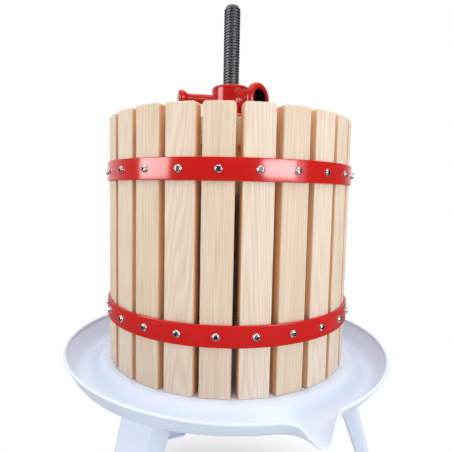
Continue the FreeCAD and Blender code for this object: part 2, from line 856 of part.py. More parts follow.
def make_stack():
    """Blocks and half-round plates that carry the load from the head to the fruit."""
    upper_base = stack_top - d.block_height
    lower_base = upper_base - d.block_height
    for name, side in (("left", 1), ("right", -1)):
        make_block(
            "upper_block_" + name, d.upper_block_length, d.upper_block_width,
            upper_base, d.stack_turn, side * d.block_gap,
        )
        make_block(
            "lower_block_" + name, d.lower_block_length, d.lower_block_width,
            lower_base, d.stack_turn - 90, side * d.lower_block_gap,
        )
        make_half_plate("press_plate_" + name, side)


def make_ring(label, base, radius, height):
    """A flat ring that slides over the spindle."""
    body = new_body(label, z=base)
    outline = new_sketch(body, "outline", "XY_Plane")
    circle(outline, 0, 0, radius)
    circle(outline, 0, 0, d.spindle_radius + d.loose_fit)
    pad(body, outline, height)


def make_head():
    """Press head: a threaded hub with a lever socket and two thin arms, a third of a turn apart."""
    body = new_body("press_head", z=head_base, turn=d.head_turn)
    profile = new_sketch(body, "profile", "XZ_Plane")
    polygon(
        profile,
        (
            (0, 0),
            (d.hub_flange_radius, 0),
            (d.hub_flange_radius, d.hub_flange_height),
            (d.hub_radius, d.hub_flange_height),
            (d.hub_radius, d.head_height),
            (0, d.head_height),
        ),
    )
    revolve(body, profile)
    soften(body, "Chamfer", "top", d.hub_bevel, lambda edge: is_circle(edge, d.hub_radius, d.head_height))

    neck = new_sketch(body, "neck", "YZ_Plane")
    circle(neck, 0, d.socket_level, d.socket_neck)
    pad(body, neck, d.socket_reach - d.socket_bead_width / 2)
    bead = new_sketch(body, "bead", "YZ_Plane", d.socket_reach - d.socket_bead_width)
    circle(bead, 0, d.socket_level, d.socket_bead)
    pad(body, bead, d.socket_bead_width)
    soften(
        body, "Chamfer", "bead_edges", d.socket_bead_bevel,
        lambda edge: is_circle(edge, d.socket_bead),
    )
    for name, turn in (("rear", 120), ("left", 240)):
        rod = new_sketch(body, name + "arm", "YZ_Plane", turn=turn)
        circle(rod, 0, d.arm_level, d.arm_radius)
        pad(body, rod, d.arm_reach - d.arm_bead_width / 2)
        knob = new_sketch(body, name + "knob", "YZ_Plane", d.arm_reach - d.arm_bead_width, turn)
        circle(knob, 0, d.arm_level, d.arm_bead)
        pad(body, knob, d.arm_bead_width)
    knob_end = number(d.arm_reach)
    soften(
        body, "Chamfer", "knob_edges", d.arm_bead_bevel,
        lambda edge: is_circle(edge, d.arm_bead) and edge.Curve.Center.Length > knob_end - 0.01,
    )
    bore = new_sketch(body, "bore", "XY_Plane", d.head_height + 10)
    circle(bore, 0, 0, d.spindle_radius + d.thread_fit)
    pocket(body, bore, d.head_height + 20)
    socket = new_sketch(body, "socket", "YZ_Plane", d.socket_reach)
    circle(socket, 0, d.socket_level, d.socket_bore)
    pocket(body, socket, d.socket_depth)


# The rolled rim stops this many degrees short of the spout's axis, on each side.
BEAD_GAP = 10

make_tray()
make_cross()
for leg_label, leg_angle in LEG_ANGLES:
    make_leg(leg_label, leg_angle)
make_leg_bolts()
make_spindle()
slat_total = int(number(d.slat_count))
for slat in range(slat_total):
    make_slat(slat, slat_total)
for hoop_name, hoop_level in hoop_levels:
    make_hoop(hoop_name + "_hoop", hoop_level)
    make_hoop_screws(hoop_name + "_hoop_screws", hoop_level, slat_total)
make_stack()
make_ring("pressure_disc", stack_top, d.foot_disc_radius, d.foot_disc_height)
make_ring("thrust_bearing", disc_top, d.bearing_radius, d.bearing_height)
make_head()

doc.recompute()
for item in doc.Objects:
    if "Invalid" in item.State or "Error" in item.State:
        raise RuntimeError("%s is not computed: %s" % (item.Label, item.State))
for node in nodes:
    if node.Shape.isNull() or not node.Shape.isValid():
        raise RuntimeError("%s has no valid shape" % node.Label)
os.makedirs("parts", exist_ok=True)
for node in nodes:
    node.Shape.exportStep("parts/%s.step" % node.Label)
print("%d sub-parts written" % len(nodes))
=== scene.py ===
# %% [markdown]
# # A basket press for fruit
# The press has a cage of pale wooden slats in two red hoops. It stands on a white enamelled tray
# with three folded legs. A red cast head runs down a fixed screw spindle and pushes wooden blocks
# and plates onto the fruit. Sizes below are metres, +Z is up, and the spindle is the Z axis.
#
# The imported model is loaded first. Every piece made here keeps to its place and its size, rides on
# one of its bodies, and stands for the plainer solid of the same name.

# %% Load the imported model
import json
import math
import random

import bmesh
import bpy
from mathutils import Matrix, Vector

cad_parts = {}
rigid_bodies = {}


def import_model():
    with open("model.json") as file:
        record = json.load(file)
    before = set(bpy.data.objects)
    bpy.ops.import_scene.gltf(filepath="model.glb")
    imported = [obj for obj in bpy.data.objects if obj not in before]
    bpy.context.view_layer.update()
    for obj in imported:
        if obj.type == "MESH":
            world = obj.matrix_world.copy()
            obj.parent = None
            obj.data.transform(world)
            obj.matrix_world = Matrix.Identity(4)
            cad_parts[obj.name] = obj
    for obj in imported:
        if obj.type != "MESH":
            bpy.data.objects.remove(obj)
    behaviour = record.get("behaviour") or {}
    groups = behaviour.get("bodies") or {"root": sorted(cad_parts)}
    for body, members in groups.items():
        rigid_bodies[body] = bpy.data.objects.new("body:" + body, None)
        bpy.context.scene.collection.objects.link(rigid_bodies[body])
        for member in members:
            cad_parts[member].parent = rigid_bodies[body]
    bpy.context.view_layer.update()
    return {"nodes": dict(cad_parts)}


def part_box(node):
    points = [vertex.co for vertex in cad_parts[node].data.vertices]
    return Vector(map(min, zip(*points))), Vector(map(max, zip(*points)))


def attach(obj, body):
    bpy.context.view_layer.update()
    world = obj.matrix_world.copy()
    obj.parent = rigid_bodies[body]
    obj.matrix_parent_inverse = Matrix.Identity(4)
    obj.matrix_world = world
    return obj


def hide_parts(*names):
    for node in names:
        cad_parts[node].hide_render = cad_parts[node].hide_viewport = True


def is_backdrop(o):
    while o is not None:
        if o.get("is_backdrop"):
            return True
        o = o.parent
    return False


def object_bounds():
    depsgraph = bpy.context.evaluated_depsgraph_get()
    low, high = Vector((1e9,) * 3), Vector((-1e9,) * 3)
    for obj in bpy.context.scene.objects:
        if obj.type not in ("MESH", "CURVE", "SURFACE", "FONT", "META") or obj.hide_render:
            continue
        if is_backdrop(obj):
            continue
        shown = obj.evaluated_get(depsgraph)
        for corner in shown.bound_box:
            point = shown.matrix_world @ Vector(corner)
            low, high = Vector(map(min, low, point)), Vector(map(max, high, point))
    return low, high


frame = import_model()
MM = 0.001

# %% [markdown]
# ## Colours and nodes
# Blender's shaders want linear light, while a colour given in hex is sRGB. One function turns a
# hex colour into linear light, so every finish below can be written the way it looks.
#
# A shader is a small graph, and all that is ever done to it is to add a node with some settings
# and feed its sockets. One function does that: a value is set, and another node's output is
# linked.

# %% Colour and node helpers
def linear(hex_colour):
    """An sRGB hex colour as linear RGBA."""
    channels = [int(hex_colour[n : n + 2], 16) / 255 for n in (0, 2, 4)]
    lit = [c / 12.92 if c <= 0.04045 else ((c + 0.055) / 1.055) ** 2.4 for c in channels]
    return (*lit, 1.0)


def add_node(tree, kind, feeds=(), **settings):
    """A new node with its settings. Feeds pair an input with a value, or with an output to link."""
    node = tree.nodes.new(kind)
    for name, value in settings.items():
        setattr(node, name, value)
    for key, feed in dict(feeds).items():
        if isinstance(feed, bpy.types.NodeSocket):
            tree.links.new(feed, node.inputs[key])
        else:
            node.inputs[key].default_value = feed
    return node


def new_finish(name, **uniform):
    """A material with one Principled shader, and the values that are the same all over it."""
    finish = bpy.data.materials.new(name)
    finish.use_nodes = True
    shader = finish.node_tree.nodes["Principled BSDF"]
    for socket, value in uniform.items():
        shader.inputs[socket.replace("_", " ")].default_value = value
    return finish, finish.node_tree, shader


print("mid grey in linear light:", [round(c, 3) for c in linear("808080")])

# %% [markdown]
# ## Planed wood
# The slats look like ash or oak: pale, straight grained, planed and left raw. What the eye reads
# is fine fibre running the length of the slat, growth rings that surface as long pointed arches,
# and a different board for every slat. The narrow sides get a browner shade of the same wood,
# which is painted shade for the shade that falls in the gaps between the slats.
#
# An image of wood isn't needed. Noise stretched along the grain gives fibre. A second, wider noise
# is cut into contour lines, as a height map is, and its contours are the arches. Each board has
# its own pass index, which moves the noise to another place, so no two boards match.

# %% Planed wood
FIBRE = (1.1 * MM, 90 * MM)  # real pores are 0.3 mm wide; drawn wider to show at this distance
FIGURE = (60 * MM, 1200 * MM)
CONTOURS = 100  # cut through this noise, close enough together to read as growth rings
FIBRE_SHARE = 0.8
DARKEST, PALEST = 0.25, 0.72  # values of the grain that get the dark and the light colour
BOARD_STEP = (0.37, 0.61, 1.73)  # metres from the grain of one board to that of the next
BOARD_TINT = "F6F0E8"
SIDE_ON = (0.75, 0.95)  # how squarely a face has to look along Y before it gets the painted side shade


def planed_wood(name, dark, light, side_shade, along):
    """Wood with its grain along one axis of the piece, 0 for X or 2 for Z, and painted shade on Y
    faces.
    """
    wood, tree, shader = new_finish(name, Roughness=0.62, Specular_IOR_Level=0.2)
    place = add_node(tree, "ShaderNodeTexCoord")
    board = add_node(tree, "ShaderNodeObjectInfo")
    shift = add_node(
        tree, "ShaderNodeVectorMath",
        {0: board.outputs["Object Index"], 1: BOARD_STEP}, operation="MULTIPLY",
    )
    moved = add_node(
        tree, "ShaderNodeVectorMath",
        {0: place.outputs["Object"], 1: shift.outputs["Vector"]}, operation="ADD",
    )
    layers = []
    for (width, length), detail in ((FIBRE, 3.0), (FIGURE, 1.0)):
        scale = [1 / width] * 3
        scale[along] = 1 / length
        grain = add_node(
            tree, "ShaderNodeMapping", {"Vector": moved.outputs["Vector"], "Scale": scale}
        )
        layers.append(
            add_node(
                tree, "ShaderNodeTexNoise",
                {"Vector": grain.outputs["Vector"], "Scale": 1.0, "Detail": detail},
            )
        )
    fibre, figure = layers
    contour = add_node(
        tree, "ShaderNodeMath", {0: figure.outputs["Fac"], 1: CONTOURS},
        operation="MULTIPLY",
    )
    rings = add_node(
        tree, "ShaderNodeMath", {0: contour.outputs["Value"], 1: 1.0}, operation="PINGPONG"
    )
    blend = add_node(
        tree, "ShaderNodeMix",
        {0: FIBRE_SHARE, 2: rings.outputs["Value"], 3: fibre.outputs["Fac"]},
    )
    ramp = add_node(tree, "ShaderNodeValToRGB", {"Fac": blend.outputs[0]})
    stops = ramp.color_ramp.elements
    stops[0].position, stops[1].position = DARKEST, PALEST
    stops[0].color, stops[1].color = linear(dark), linear(light)
    chance = add_node(
        tree, "ShaderNodeTexWhiteNoise", {"W": board.outputs["Object Index"]},
        noise_dimensions="1D",
    )
    tinted = add_node(
        tree, "ShaderNodeMix",
        {0: chance.outputs["Value"], 6: ramp.outputs["Color"], 7: linear(BOARD_TINT)},
        data_type="RGBA", blend_type="MULTIPLY",
    )
    facing = add_node(tree, "ShaderNodeSeparateXYZ", {0: place.outputs["Normal"]})
    sideways = add_node(
        tree, "ShaderNodeMath", {0: facing.outputs["Y"]}, operation="ABSOLUTE"
    )
    on_side = add_node(
        tree, "ShaderNodeMapRange",
        {"Value": sideways.outputs["Value"], "From Min": SIDE_ON[0], "From Max": SIDE_ON[1]},
    )
    # painted shade: faces that look along Y are multiplied towards the side shade colour
    sides = add_node(
        tree, "ShaderNodeMix",
        {0: on_side.outputs["Result"], 6: tinted.outputs[2], 7: linear(side_shade)},
        data_type="RGBA", blend_type="MULTIPLY",
    )
    tree.links.new(sides.outputs[2], shader.inputs["Base Color"])
    relief = add_node(
        tree, "ShaderNodeBump",
        {"Height": fibre.outputs["Fac"], "Strength": 0.3, "Distance": 0.15 * MM},
    )
    tree.links.new(relief.outputs["Normal"], shader.inputs["Normal"])
    return wood


# the third colour of each wood is painted shade for the narrow sides that face along Y
slat_wood = planed_wood("planed_raw_ash", "D5C1AA", "EEE0D1", "FFE0C4", along=2)
BEECH = ("B98F68", "DDBB95", "F2DCC4")
block_wood = planed_wood("planed_oiled_beech_blocks", *BEECH, along=0)
plate_wood = planed_wood("planed_oiled_beech_plates", *BEECH, along=1)
print("slat wood has", len(slat_wood.node_tree.nodes), "nodes")

# %% [markdown]
# ## Enamel and metal
# The head and the hoops have a thick glossy red coat, sprayed or dipped and then baked. Such a coat
# flows out nearly smooth but keeps a faint orange peel, a ripple some millimetres wide, which is
# what bends the edges of a reflected lamp. Over the rougher skin of the casting the coat is a
# little less glossy. The tray and the legs are coated the same way in a cool white with a softer
# gloss.

# %% Baked enamel
SHEEN = 0.3  # under the usual 0.5, because a pale room reflected in red would turn it pink
SKIN_DEPTH = 0.05 * MM


def vary(tree, shader, patches, colours, roughness, ripple, strength):
    """Let patches vary colour and roughness between two values, and a ripple bend the light."""
    shade = add_node(
        tree, "ShaderNodeMix",
        {0: patches.outputs["Fac"], 6: linear(colours[0]), 7: linear(colours[1])},
        data_type="RGBA",
    )
    gloss = add_node(
        tree, "ShaderNodeMapRange",
        {"Value": patches.outputs["Fac"], "To Min": roughness[0], "To Max": roughness[1]},
    )
    relief = add_node(
        tree, "ShaderNodeBump",
        {"Height": ripple.outputs["Fac"], "Strength": strength, "Distance": SKIN_DEPTH},
    )
    tree.links.new(shade.outputs[2], shader.inputs["Base Color"])
    tree.links.new(gloss.outputs["Result"], shader.inputs["Roughness"])
    tree.links.new(relief.outputs["Normal"], shader.inputs["Normal"])


def baked_enamel(name, colour, worn_colour, roughness, ripple, sheen=SHEEN):
    """A smooth coat over metal, with orange peel and a slightly uneven gloss."""
    enamel, tree, shader = new_finish(name, Specular_IOR_Level=sheen)
    place = add_node(tree, "ShaderNodeTexCoord")
    peel = add_node(
        tree, "ShaderNodeTexNoise",
        {"Vector": place.outputs["Object"], "Scale": 1 / ripple, "Detail": 1.0},
    )
    cloud = add_node(
        tree, "ShaderNodeTexNoise",
        {"Vector": place.outputs["Object"], "Scale": 25.0, "Detail": 4.0},
    )
    spread = (roughness - 0.04, roughness + 0.05)
    vary(tree, shader, cloud, (colour, worn_colour), spread, peel, 0.2)
    return enamel


def rubbed_metal(name, dark, light, roughness):
    """Bare or plated metal whose tone and gloss vary with handling."""
    metal, tree, shader = new_finish(name, Metallic=1.0)
    place = add_node(tree, "ShaderNodeTexCoord")
    wear = add_node(
        tree, "ShaderNodeTexNoise",
        {"Vector": place.outputs["Object"], "Scale": 180.0, "Detail": 5.0},
    )
    spread = (roughness - 0.08, roughness + 0.1)
    vary(tree, shader, wear, (dark, light), spread, wear, 0.15)
    return metal


red_enamel = baked_enamel("baked_gloss_red_enamel", "C01815", "CA1D18", 0.14, 4 * MM)
cast_enamel = baked_enamel("baked_red_enamel_on_iron", "B21713", "BE1C17", 0.2, 3 * MM, 0.24)
white_enamel = baked_enamel("baked_satin_white_enamel", "D7E2F5", "DDE7F9", 0.42, 6 * MM)
# the spindle's blackened steel, also used as painted shade inside the screws' recesses
dark_steel_and_recess_shade = rubbed_metal("blackened_steel_and_recess_shade", "3C3C42", "6E6E76", 0.46)
bright_steel = rubbed_metal("zinc_plated_steel", "B4B4B8", "DCDCDE", 0.22)
# bare iron for the bores, darkened nearly to black as painted shade
bore_iron_and_shade = rubbed_metal("bare_iron_darkened_as_bore_shade", "2A2624", "4A4442", 0.5)
print("finishes:", ", ".join(sorted(m.name for m in bpy.data.materials if m.users == 0)))

# %% [markdown]
# ## Shared ways of making
# Most pieces are turned, pressed or folded, so they come from a section with rounded corners. One
# function rounds the corners of a section and another turns it about an axis. A last one gives a
# finished mesh its finish, its body and the solids it stands for.

# %% Sections, turning and seating
def rounded(corners, closed=True, steps=5):
    """A section in mm through (across, up, corner radius) points, with its corners rounded."""
    outline = []
    for n, (across, up, radius) in enumerate(corners):
        here = Vector((across, up))
        if radius == 0 or (not closed and n in (0, len(corners) - 1)):
            outline.append(here)
            continue
        back = Vector(corners[n - 1][:2]) - here
        on = Vector(corners[(n + 1) % len(corners)][:2]) - here
        half = back.angle(on) / 2
        run = min(radius / math.tan(half), 0.499 * back.length, 0.499 * on.length)
        fit = run * math.tan(half)
        back.normalize()
        on.normalize()
        centre = here + (back + on).normalized() * fit / math.sin(half)
        start, end = here + back * run - centre, here + on * run - centre
        first = math.atan2(start.y, start.x)
        sweep = math.remainder(math.atan2(end.y, end.x) - first, math.tau)
        for k in range(steps + 1):
            angle = first + sweep * k / steps
            outline.append(centre + fit * Vector((math.cos(angle), math.sin(angle))))
    return outline


def turned(section, steps=96, closed=True, target=None):
    """A section in mm turned about Z. A point on the axis closes that end."""
    shape = target or bmesh.new()
    rings = []
    for across, up in section:
        if across < 1e-6:
            rings.append([shape.verts.new((0, 0, up * MM))] * steps)
            continue
        rings.append([
            shape.verts.new((
                across * math.cos(math.tau * k / steps) * MM,
                across * math.sin(math.tau * k / steps) * MM,
                up * MM,
            ))
            for k in range(steps)
        ])
    pairs = list(zip(rings, rings[1:])) + ([(rings[-1], rings[0])] if closed else [])
    for low, high in pairs:
        for k in range(steps):
            corners = [low[k], low[(k + 1) % steps], high[(k + 1) % steps], high[k]]
            corners = list(dict.fromkeys(corners))
            if len(corners) > 2:
                shape.faces.new(corners)
    return shape


def new_mesh(name, shape, place=Matrix(), crease=35):
    """An object from a finished shape, shaded smooth except across sharper edges."""
    bmesh.ops.recalc_face_normals(shape, faces=shape.faces)
    mesh = bpy.data.meshes.new(name)
    shape.to_mesh(mesh)
    shape.free()
    mesh.shade_smooth()
    mesh.set_sharp_from_angle(angle=math.radians(crease))
    piece = bpy.data.objects.new(name, mesh)
    piece.matrix_world = place
    bpy.context.scene.collection.objects.link(piece)
    return piece


def seat(piece, body, finish, swatch, *nodes):
    """Give a piece its finish and its body, and let it stand for its CAD nodes."""
    piece.data.materials.append(finish)
    bpy.context.view_layer.update()
    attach(piece, body)
    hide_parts(*nodes)


def apply_modifiers(piece):
    """Turn a piece and its modifiers into one plain mesh."""
    graph = bpy.context.evaluated_depsgraph_get()
    made = bpy.data.meshes.new_from_object(piece.evaluated_get(graph))
    piece.modifiers.clear()
    piece.data = made


def body_size(node):
    """The low corner and the size of a node's box, in mm."""
    low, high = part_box(node)
    return low / MM, (high - low) / MM


slat_low, slat_size = body_size("slat_01")
print("slat", [round(side, 1) for side in slat_size], "mm")

# %% [markdown]
# ## The cage
# Each slat is a planed strip with its edges eased all round and its top corners rounded, and
# stands upright with a gap to its neighbours. A block with bevelled corners and edges is enough,
# made once per slat. They are sawn to length and set by hand, so each may be a little short and a
# little aside.

# %% Slats
def eased_board(size, ease, corner=0):
    """A board of a size in mm about its middle, its edges eased and its top corners rounded."""
    board = bmesh.new()
    bmesh.ops.create_cube(board, size=1)
    bmesh.ops.scale(board, vec=Vector(size) * MM, verts=board.verts)
    if corner:
        ends = [e for e in board.edges if all(v.co.z > 0 for v in e.verts)
                and abs(e.verts[0].co.y - e.verts[1].co.y) < 0.1 * MM]
        bmesh.ops.bevel(
            board, geom=ends, offset=corner * MM, segments=4, profile=0.5, affect="EDGES"
        )
    sharp = [e for e in board.edges if e.calc_face_angle() > 1]
    caps = [f for f in board.faces if len(f.verts) > 4]
    sharp += [e for f in caps for e in f.edges if e not in sharp]
    bmesh.ops.bevel(
        board, geom=sharp, offset=ease * MM, segments=3, profile=0.5, affect="EDGES"
    )
    return board


def plank(plan, height, ease):
    """A board cut to a plan in mm, with its long edges eased."""
    board = bmesh.new()
    base = board.faces.new([board.verts.new((p.x * MM, p.y * MM, 0)) for p in plan])
    lifted = bmesh.ops.extrude_face_region(board, geom=[base])["geom"]
    tops = [v for v in lifted if isinstance(v, bmesh.types.BMVert)]
    bmesh.ops.translate(board, vec=(0, 0, height * MM), verts=tops)
    flat = [e for e in board.edges if abs(e.verts[0].co.z - e.verts[1].co.z) < 1e-6]
    bmesh.ops.bevel(board, geom=flat, offset=ease * MM, segments=2, profile=0.5, affect="EDGES")
    return board


SLATS = 24
SLAT_EASE, SLAT_CORNER = 1.8, 4
SAWN_SHORT, SET_ASIDE = 1.6, 0.9

by_hand = random.Random(160)  # searched for: with it the camera sees no slit of light in the cage
for index in range(SLATS):
    short = by_hand.uniform(0, SAWN_SHORT)
    aside = by_hand.uniform(-SET_ASIDE, SET_ASIDE)
    size = slat_size - Vector((0, 0, short))
    board = eased_board(size, SLAT_EASE, corner=SLAT_CORNER)
    middle = (slat_low + size / 2 + Vector((0, aside, 0))) * MM
    turn = Matrix.Rotation(math.tau * index / SLATS, 4, "Z") @ Matrix.Translation(middle)
    slat = new_mesh(f"slat_{index + 1:02d}_board", board, turn)
    slat.pass_index = index + 1
    seat(slat, "cage", slat_wood, "slat_wood", f"slat_{index + 1:02d}")
print("made", SLATS, "slats")

# %% [markdown]
# Two hoops of flat strip are bent round the cage, and every slat is screwed to both. The strip's
# edges are slightly rounded, so that each catches a thin line of light.

# %% Hoops and their screws
STRIP, STRIP_EDGE = 3, 0.9
SCREW_RADIUS = 4.6
SCREW_RISE = 2.8
RECESS, SLOT, HEART = 5.8, 1.8, 3.6  # the cross recess: its length, its width and its middle
RECESS_CUT, RECESS_REACH = 4.2, 3.1
NEXT_SCREW = 2.4  # radians from one screw's recess to the next one's, so they point all ways


def hoop_section(node):
    """The strip's section, from the box of its hoop."""
    low, size = body_size(node)
    outer, top = size.x / 2, low.z + size.z
    return [(outer - STRIP, low.z, STRIP_EDGE), (outer, low.z, STRIP_EDGE),
            (outer, top, STRIP_EDGE), (outer - STRIP, top, STRIP_EDGE)]


def pan_head_screw():
    """A pan head with a cross recess, on the XY plane."""
    section = rounded(((0, -0.5, 0), (SCREW_RADIUS, -0.5, 0), (SCREW_RADIUS, 1.1, 1.0),
                       (3.2, SCREW_RISE, 2.5), (0, SCREW_RISE, 0)), closed=False)
    head = new_mesh("screw_blank", turned(section, 40))
    slots = bmesh.new()
    for size in ((RECESS, SLOT), (SLOT, RECESS), (HEART, HEART)):
        made = bmesh.ops.create_cube(slots, size=1)["verts"]
        bmesh.ops.scale(slots, vec=Vector((*size, RECESS_CUT)) * MM, verts=made)
        bmesh.ops.translate(slots, vec=(0, 0, SCREW_RISE * MM), verts=made)
    cutter = new_mesh("screw_slots", slots)
    cut = head.modifiers.new("recess", "BOOLEAN")
    cut.object, cut.operation = cutter, "DIFFERENCE"
    cut.use_self = True
    apply_modifiers(head)
    bpy.data.objects.remove(cutter)
    # faces inside the recess take the second finish, dark steel, as painted shade in the recess
    for face in head.data.polygons:
        middle = face.center / MM
        near = math.hypot(middle.x, middle.y) < RECESS_REACH
        face.material_index = int(near and 0.2 < middle.z < SCREW_RISE - 0.1)
    return head


screw = pan_head_screw()
for level in ("upper", "lower"):
    section = rounded(hoop_section(f"{level}_hoop"))
    hoop = new_mesh(f"{level}_hoop_strip", turned(section, 192))
    seat(hoop, "cage", red_enamel, "red_enamel", f"{level}_hoop")
    low, size = body_size(f"{level}_hoop")
    stand_off = size.x / 2 * MM
    screws = bmesh.new()
    for index in range(SLATS):
        out = Matrix.Rotation(math.tau * index / SLATS, 4, "Z")
        out @= Matrix.Translation((stand_off, 0, (low.z + size.z / 2) * MM))
        out @= Matrix.Rotation(math.pi / 2, 4, "Y") @ Matrix.Rotation(NEXT_SCREW * index, 4, "Z")
        before = len(screws.verts)
        screws.from_mesh(screw.data)
        screws.verts.ensure_lookup_table()
        bmesh.ops.transform(screws, matrix=out, verts=screws.verts[before:])
    heads = new_mesh(f"{level}_pan_head_screws", screws)
    seat(heads, "cage", bright_steel, "bright_steel", f"{level}_hoop_screws")
    # dark steel in the screws' recesses is painted shade
    heads.data.materials.append(dark_steel_and_recess_shade)
bpy.data.objects.remove(screw)
print("made two hoops with", 2 * SLATS, "screws")

# %% [markdown]
# ## The spindle
# A steel bar with a coarse right-hand thread stands in the middle, with a collar on the tray and a
# nut beneath. The thread is one long helix, so it is made as one: a few points across the pitch,
# carried round and up, and joined to the turn above.

# %% Threaded spindle
PITCH = 4.0
CREST = 12.0
GROOVE = 10.1
THREAD = (
    (0.0, GROOVE), (0.16, GROOVE + 0.1), (0.34, CREST - 0.4), (0.46, CREST), (0.64, CREST),
    (0.76, CREST - 0.4), (0.92, GROOVE + 0.1),
)
STEPS = 32
SUNK = 0.2  # where the thread runs out, it goes this far into the bar
COLLAR_EDGE, COLLAR_FOOT, COLLAR_TOP = 21.0, 300.0, 307.0
LOWER_THREAD_TOP = 293.0

spindle_low, spindle_size = body_size("spindle")
spindle_top = spindle_low.z + spindle_size.z


def helix(shape, start, end):
    """A thread between two levels, running out at both ends."""
    turns = int((end - start) / PITCH)
    rows = []
    for step in range(turns * STEPS + 1):
        angle = math.tau * step / STEPS
        row = []
        for part, radius in THREAD:
            level = start + (step / STEPS + part - 0.5) * PITCH
            fade = min(1, max(0, (level - start) / PITCH), max(0, (end - level) / PITCH))
            radius = GROOVE - SUNK + (radius - GROOVE + SUNK) * fade
            level = min(max(level, start), end)
            row.append(shape.verts.new((
                radius * math.cos(angle) * MM, radius * math.sin(angle) * MM, level * MM
            )))
        rows.append(row)
    for step in range(turns * STEPS):
        row, after = rows[step], rows[step + 1]
        for part in range(len(THREAD) - 1):
            shape.faces.new((row[part], after[part], after[part + 1], row[part + 1]))
        if step + STEPS + 1 < len(rows):
            above, next_above = rows[step + STEPS], rows[step + STEPS + 1]
            shape.faces.new((row[-1], after[-1], next_above[0], above[0]))


bar = turned(
    rounded((
        (0, spindle_low.z, 0), (GROOVE, spindle_low.z, 1), (GROOVE, COLLAR_FOOT, 0),
        (COLLAR_EDGE, COLLAR_FOOT, 0), (COLLAR_EDGE, COLLAR_TOP, 1.5), (GROOVE, COLLAR_TOP, 0),
        (GROOVE, spindle_top, 4), (0, spindle_top, 0),
    ), closed=False), 48,
)
helix(bar, COLLAR_TOP + 1, spindle_top - 2)
helix(bar, spindle_low.z + 1, LOWER_THREAD_TOP)
spindle = new_mesh("threaded_spindle", bar, crease=50)
seat(spindle, "stand", dark_steel_and_recess_shade, "dark_steel", "spindle")
print("thread of", round((spindle_top - COLLAR_TOP) / PITCH), "turns")

# %% [markdown]
# ## The press head
# The head is one casting: a hub that is threaded inside, a wide socket for the lever, and two thin
# arms with knobs. Each of these forms is turned from its own section and laid in place.

# %% Cast head
head_low, head_size = body_size("press_head")
HUB_TOP = head_size.z
ARM_LEVEL, SOCKET_LEVEL = 26.0, 23.3
SOCKET_TURN = -68.5
SOCKET_REACH, SOCKET_BORE, SOCKET_DEPTH = 57.0, 13.5, 36.0
BEAD_EDGE, BEAD_ROUND = 22.7, 6.0
HUB_SECTION = (
    (0, 0, 0), (33, 0, 1), (33, 6, 2.5), (28.3, 7.5, 2.5), (28, HUB_TOP, 4), (0, HUB_TOP, 0)
)
NECK_SECTION = ((0, 0, 0), (15.8, 0, 0), (15.8, 36, 20), (18.5, 46, 0))
ARM_SECTION = ((0, 0, 0), (8.4, 0, 0), (6.4, 66, 4), (10.8, 71.5, 3), (11.5, 79, 4), (0, 79, 0))


def on_arm(shape, first, turn, level):
    """Lay the vertices made since the first one along an arm of the head."""
    shape.verts.ensure_lookup_table()
    place = Matrix.Rotation(math.radians(turn), 4, "Z")
    place @= Matrix.Translation((0, 0, level * MM)) @ Matrix.Rotation(math.pi / 2, 4, "Y")
    bmesh.ops.transform(shape, matrix=place, verts=shape.verts[first:])


casting = turned(rounded(HUB_SECTION, closed=False), 96)
neck = rounded(NECK_SECTION, closed=False)
bead = [
    Vector((BEAD_EDGE + BEAD_ROUND * (math.cos(turn) - 1),
            SOCKET_REACH + BEAD_ROUND * (math.sin(turn) - 1)))
    for turn in (math.radians(k) for k in range(-70, 91, 10))
]
first = len(casting.verts)
turned(neck + bead + [Vector((0, SOCKET_REACH))], 72, closed=False, target=casting)
on_arm(casting, first, SOCKET_TURN, SOCKET_LEVEL)
for turn in (120, 240):
    first = len(casting.verts)
    turned(rounded(ARM_SECTION, closed=False), 48, target=casting)
    on_arm(casting, first, SOCKET_TURN + turn, ARM_LEVEL)
lift = Matrix.Translation((0, 0, head_low.z * MM))
head = new_mesh("cast_press_head", casting, lift)
print("head's forms have", len(head.data.polygons), "faces")

# %% [markdown]
# Castings have no sharp inner corner, so the separate forms are melted together on a fine grid and
# smoothed. The two bores are cut afterwards, so that they stay crisp, and show bare iron, darkened
# nearly to black as painted shade for the shade inside them.

# %% Melting and boring
IRON_NEAR = 0.2  # faces this close to a bore are its wall

melt = head.modifiers.new("melt", "REMESH")
melt.mode, melt.voxel_size = "VOXEL", 0.8 * MM
ease = head.modifiers.new("ease", "SMOOTH")
ease.factor, ease.iterations = 0.5, 14
bores = turned(rounded((
    (0, -5, 0), (CREST + 0.05, -5, 0), (CREST + 0.05, 60, 0), (0, 60, 0)
), closed=False), 64)
socket_floor = SOCKET_REACH - SOCKET_DEPTH
first = len(bores.verts)
turned(rounded((
    (0, socket_floor, 0), (SOCKET_BORE, socket_floor, 1), (SOCKET_BORE, SOCKET_REACH - 2, 2),
    (SOCKET_BORE + 2.5, SOCKET_REACH + 0.5, 0), (SOCKET_BORE + 2.5, 70, 0), (0, 70, 0)
), closed=False), 72, target=bores)
on_arm(bores, first, SOCKET_TURN, SOCKET_LEVEL)
drill = new_mesh("head_bores", bores, lift)
cut = head.modifiers.new("bores", "BOOLEAN")
cut.object, cut.operation, cut.use_self = drill, "DIFFERENCE", True
apply_modifiers(head)
bpy.data.objects.remove(drill)
head.data.shade_smooth()
head.data.set_sharp_from_angle(angle=math.radians(40))
seat(head, "head", cast_enamel, "red_enamel", "press_head")
# the bores' walls are bare iron, darkened nearly to black as painted shade inside them
head.data.materials.append(bore_iron_and_shade)
to_socket = Matrix.Rotation(math.radians(-SOCKET_TURN), 3, "Z")
for face in head.data.polygons:
    middle = to_socket @ (face.center / MM)
    in_socket = math.hypot(middle.y, middle.z - SOCKET_LEVEL) < SOCKET_BORE + IRON_NEAR
    in_hub = math.hypot(middle.x, middle.y) < CREST + IRON_NEAR
    face.material_index = int(in_hub or (in_socket and middle.x > 0))
print("casting has", len(head.data.polygons), "faces")

# %% [markdown]
# Between the head and the blocks lie a flat red disc and a thrust bearing. Both are turned rings,
# and the bearing shows two races with a dark gap between them.

# %% Disc and bearing
BORE = 12.8
RACE, RACE_STEP, WAIST = 2, 2.1, 1.5  # a race's height, where the gap starts, how far it is set in

